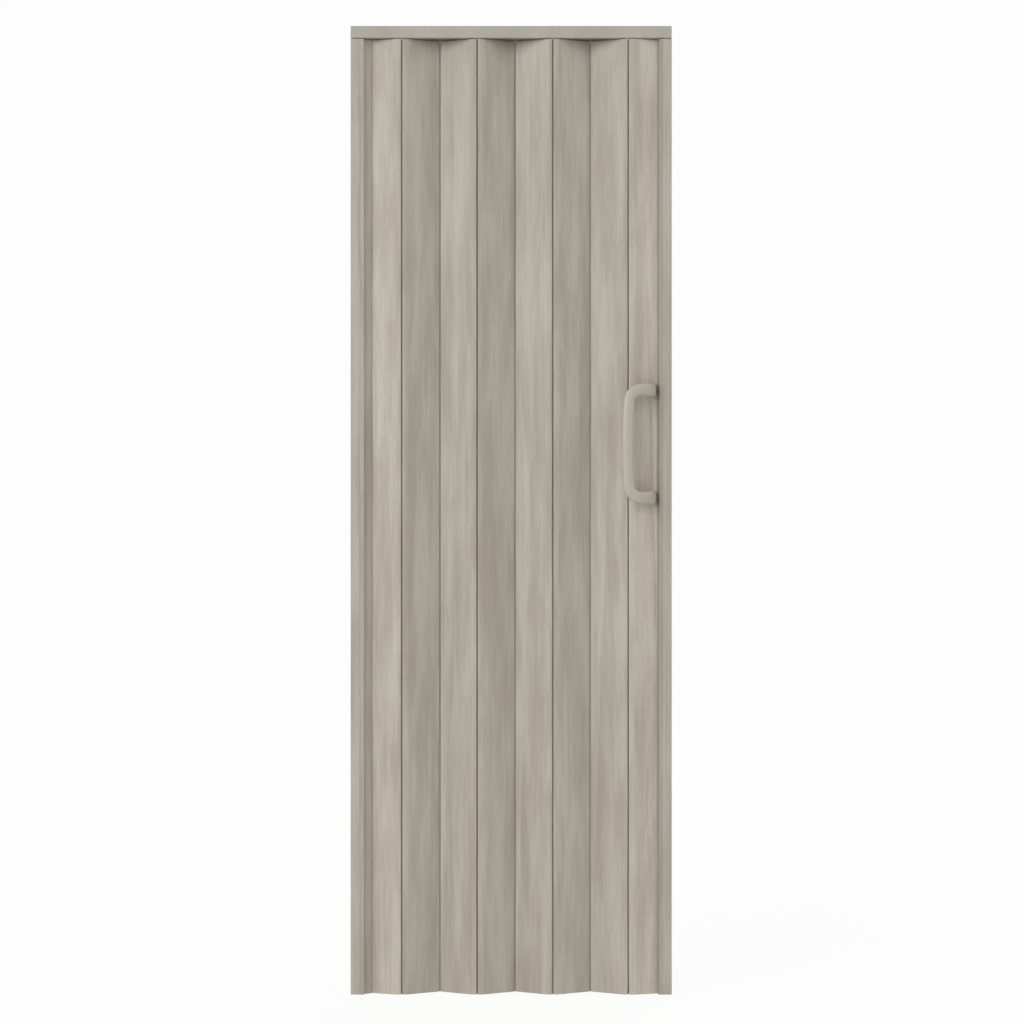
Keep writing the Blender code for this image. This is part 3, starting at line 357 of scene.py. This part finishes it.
def zinc_plate(name):
    nodes = Nodes(name)
    cloud = nodes.noise(ZINC_CLOUD)
    scratch = nodes.noise(ZINC_SCRATCH)
    colour = nodes.mix(STEEL, STEEL_MOTTLE, nodes.spread(cloud, ZINC_RANGE))
    worn = nodes.spread(cloud, CLOUD_RANGE, ZINC_ROUGHNESS)
    roughness = nodes.sum(worn, scratch, SCRATCH_ROUGHNESS)
    nodes.bump(scratch, SCRATCH_BUMP, SCRATCH_DEPTH)
    nodes.shader.inputs["Metallic"].default_value = 1.0
    return nodes.finish(colour, roughness)


# Pieces

def body_of(node):
    return frame["nodes"][node]["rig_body"]


def refined(name, nodes, extra=None):
    """A new piece with the shape of some CAD nodes, welded, with smooth curves and crisp edges."""
    work = bmesh.new()
    for node in nodes:
        work.from_mesh(frame["nodes"][node].data)
    bmesh.ops.remove_doubles(work, verts=work.verts, dist=WELD)
    if extra is not None:
        extra(work)
    mesh = bpy.data.meshes.new(name)
    work.to_mesh(mesh)
    work.free()
    mesh.polygons.foreach_set("use_smooth", [True] * len(mesh.polygons))
    mesh.set_sharp_from_angle(angle=SHARP_ANGLE)
    piece = bpy.data.objects.new(name, mesh)
    bpy.context.scene.collection.objects.link(piece)
    return piece


def rounded_edges(piece):
    bevel = piece.modifiers.new("edge_round", "BEVEL")
    bevel.width = EDGE_ROUND
    bevel.segments = EDGE_SEGMENTS
    bevel.limit_method = "ANGLE"
    bevel.angle_limit = SHARP_ANGLE
    bevel.harden_normals = True


def dressed(node, material, rounded=True):
    """The visible piece that stands for one CAD node."""
    piece = refined(node + "_skin", [node])
    if rounded:
        rounded_edges(piece)
    piece.data.materials.append(material)
    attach(piece, body_of(node))
    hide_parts(node)
    return piece


def soft_edge(post, material):
    """The edge of the lead post's mouth, which lies against the last slat, in a darker plastic as
    painted shade of the narrow gap there.
    """
    post.data.materials.append(material)
    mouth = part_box("lead_post")[0].x
    for polygon in post.data.polygons:
        if polygon.center.x < mouth + MOUTH_SHADE_WIDTH:
            polygon.material_index = 1


def fold_strip(number, joint, material):
    """One soft strip over a fold: both beads and lips, joined by a thin web; the piece stays where
    it is built and does not bend with the fold.
    """
    left = "hinge_strip_" + str(number) + "_left"
    right = "hinge_strip_" + str(number) + "_right"
    axis = Vector(joint["pos_m"])
    near = joint["axis"][2] > 0
    opening = -1 if near else 1
    low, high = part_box(left)

    def add_web(work):
        columns = []
        for column in range(WEB_COLUMNS + 1):
            across = LIP_REACH * (2 * column / WEB_COLUMNS - 1)
            back = -opening * abs(across) * math.tan(FOLD_ANGLE)
            y = axis.y + back + opening * WEB_OFFSET
            ring = []
            for depth in (0.0, WEB_THICKNESS):
                for z in (low.z + WEB_INSET, high.z - WEB_INSET):
                    ring.append(work.verts.new((axis.x + across, y + opening * depth, z)))
            columns.append(ring)
        for first, second in zip(columns, columns[1:]):
            for a, b in ((0, 1), (1, 3), (3, 2), (2, 0)):
                work.faces.new((first[a], first[b], second[b], second[a]))
        work.faces.new([columns[0][i] for i in (0, 2, 3, 1)])
        work.faces.new([columns[-1][i] for i in (0, 1, 3, 2)])
        bmesh.ops.recalc_face_normals(work, faces=work.faces)

    piece = refined("fold_strip_" + str(number), [left, right], add_web)
    piece.data.materials.append(material)
    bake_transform(piece)
    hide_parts(left, right)


def slat_foil(node):
    """The foil of one slat, with a grain of its own and painted light and shade from edge to edge.
    """
    number = int(node.split("_")[1])
    # painted light and shade across this slat; the end slats have their own
    painted_light_ends = END_PAINTED_LIGHT.get(number, ODD_PAINTED_LIGHT if number % 2 else EVEN_PAINTED_LIGHT)
    low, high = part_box(node)
    return wood_foil(node + "_foil", SLAT_FOIL, SLAT_SHIFT * number, painted_light_ends, (low.x, high.x))


def dress_door():
    strip = moulded_plastic("strip_soft", STRIP)
    # painted shade for the lead post's mouth edge
    mouth = moulded_plastic("mouth_painted_shade", MOUTH_PAINTED_SHADE)
    header = moulded_plastic("header_satin", HEADER)
    handle = moulded_plastic("handle_satin", HANDLE)
    nylon = moulded_plastic("glider_smooth", NYLON)
    steel = zinc_plate("screw_zinc")
    for node in sorted(frame["nodes"]):
        if node.startswith("slat_"):
            dressed(node, slat_foil(node))
        elif node in POST_FOILS:
            foil = wood_foil(node + "_foil", *POST_FOILS[node])
            post = dressed(node, foil)
            if node == "lead_post":
                # painted shade at the mouth against the last slat
                soft_edge(post, mouth)
        elif node == "header_track":
            dressed(node, header)
        elif "_screw_" in node:
            dressed(node, steel, rounded=False)
        elif node.startswith("handle_"):
            dressed(node, handle, rounded=False)
        elif "glider" in node:
            dressed(node, nylon, rounded=False)
    for number, joint in enumerate(frame["joints"], start=1):
        fold_strip(number, joint, strip)


# The room, the light and the camera

def camera_sees_white(tree, white, other):
    """Mix two shaders so that the camera, gloss and glass see the white one."""
    path = tree.nodes.new("ShaderNodeLightPath")
    seen = path.outputs["Is Camera Ray"]
    for name in ("Is Glossy Ray", "Is Transmission Ray"):
        either = tree.nodes.new("ShaderNodeMath")
        either.operation = "MAXIMUM"
        tree.links.new(seen, either.inputs[0])
        tree.links.new(path.outputs[name], either.inputs[1])
        seen = either.outputs[0]
    mix = tree.nodes.new("ShaderNodeMixShader")
    tree.links.new(seen, mix.inputs[0])
    tree.links.new(other, mix.inputs[1])
    tree.links.new(white, mix.inputs[2])
    return mix.outputs[0]


def build_world():
    world = bpy.data.worlds.new("studio")
    bpy.context.scene.world = world
    world.use_nodes = True
    tree = world.node_tree
    ambient = tree.nodes["Background"]
    ambient.inputs["Color"].default_value = (*AMBIENT, 1.0)
    ambient.inputs["Strength"].default_value = AMBIENT_STRENGTH
    white = tree.nodes.new("ShaderNodeBackground")
    white.inputs["Color"].default_value = (*BACKGROUND, 1.0)
    shader = camera_sees_white(tree, white.outputs[0], ambient.outputs[0])
    tree.links.new(shader, tree.nodes["World Output"].inputs["Surface"])


def floor_material():
    """A pale floor that the camera sees almost as white as the background, with its shadow."""
    material = bpy.data.materials.new("floor_pale")
    material.use_nodes = True
    tree = material.node_tree
    diffuse = tree.nodes["Principled BSDF"]
    diffuse.inputs["Base Color"].default_value = (*FLOOR_GREY, 1.0)
    diffuse.inputs["Roughness"].default_value = FLOOR_ROUGHNESS
    glow = tree.nodes.new("ShaderNodeEmission")
    glow.inputs["Color"].default_value = (*FLOOR_GLOW, 1.0)
    part = tree.nodes.new("ShaderNodeMixShader")
    part.inputs[0].default_value = GLOW_SHARE
    tree.links.new(diffuse.outputs[0], part.inputs[1])
    tree.links.new(glow.outputs[0], part.inputs[2])
    shader = camera_sees_white(tree, part.outputs[0], diffuse.outputs[0])
    tree.links.new(shader, tree.nodes["Material Output"].inputs["Surface"])
    return material


def build_floor():
    mesh = bpy.data.meshes.new("floor")
    half = FLOOR_SIZE / 2
    z = cad_box[0][2] - FLOOR_GAP
    corners = [(-half, -half, z), (half, -half, z), (half, half, z), (-half, half, z)]
    mesh.from_pydata(corners, [], [(0, 1, 2, 3)])
    mesh.materials.append(floor_material())
    floor = bpy.data.objects.new("floor", mesh)
    bpy.context.scene.collection.objects.link(floor)


def add_lamp(name, strength, direction, size):
    """A far soft lamp that shines along direction."""
    lamp = bpy.data.lights.new(name, "SUN")
    lamp.energy = strength
    lamp.angle = math.radians(size)
    shape = bpy.data.objects.new(name, lamp)
    shape.rotation_euler = Vector(direction).to_track_quat("-Z", "Y").to_euler()
    bpy.context.scene.collection.objects.link(shape)


def build_camera():
    data = bpy.data.cameras.new("photo_camera")
    data.sensor_width = SENSOR
    data.lens = FOCAL_PIXELS * SENSOR / PHOTO_SIDE
    data.clip_end = VIEW_END
    camera = bpy.data.objects.new("photo_camera", data)
    header_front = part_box("header_track")[0].y
    camera.location = (CAMERA_X, header_front - CAMERA_DISTANCE, CAMERA_Z)
    camera.rotation_euler = (math.pi / 2, 0.0, 0.0)
    bpy.context.scene.collection.objects.link(camera)
    bpy.context.scene.camera = camera


dress_door()
build_world()
build_floor()
for name, settings in LAMPS.items():
    add_lamp(name, *settings)
build_camera()
bpy.context.scene.view_settings.view_transform = "Standard"
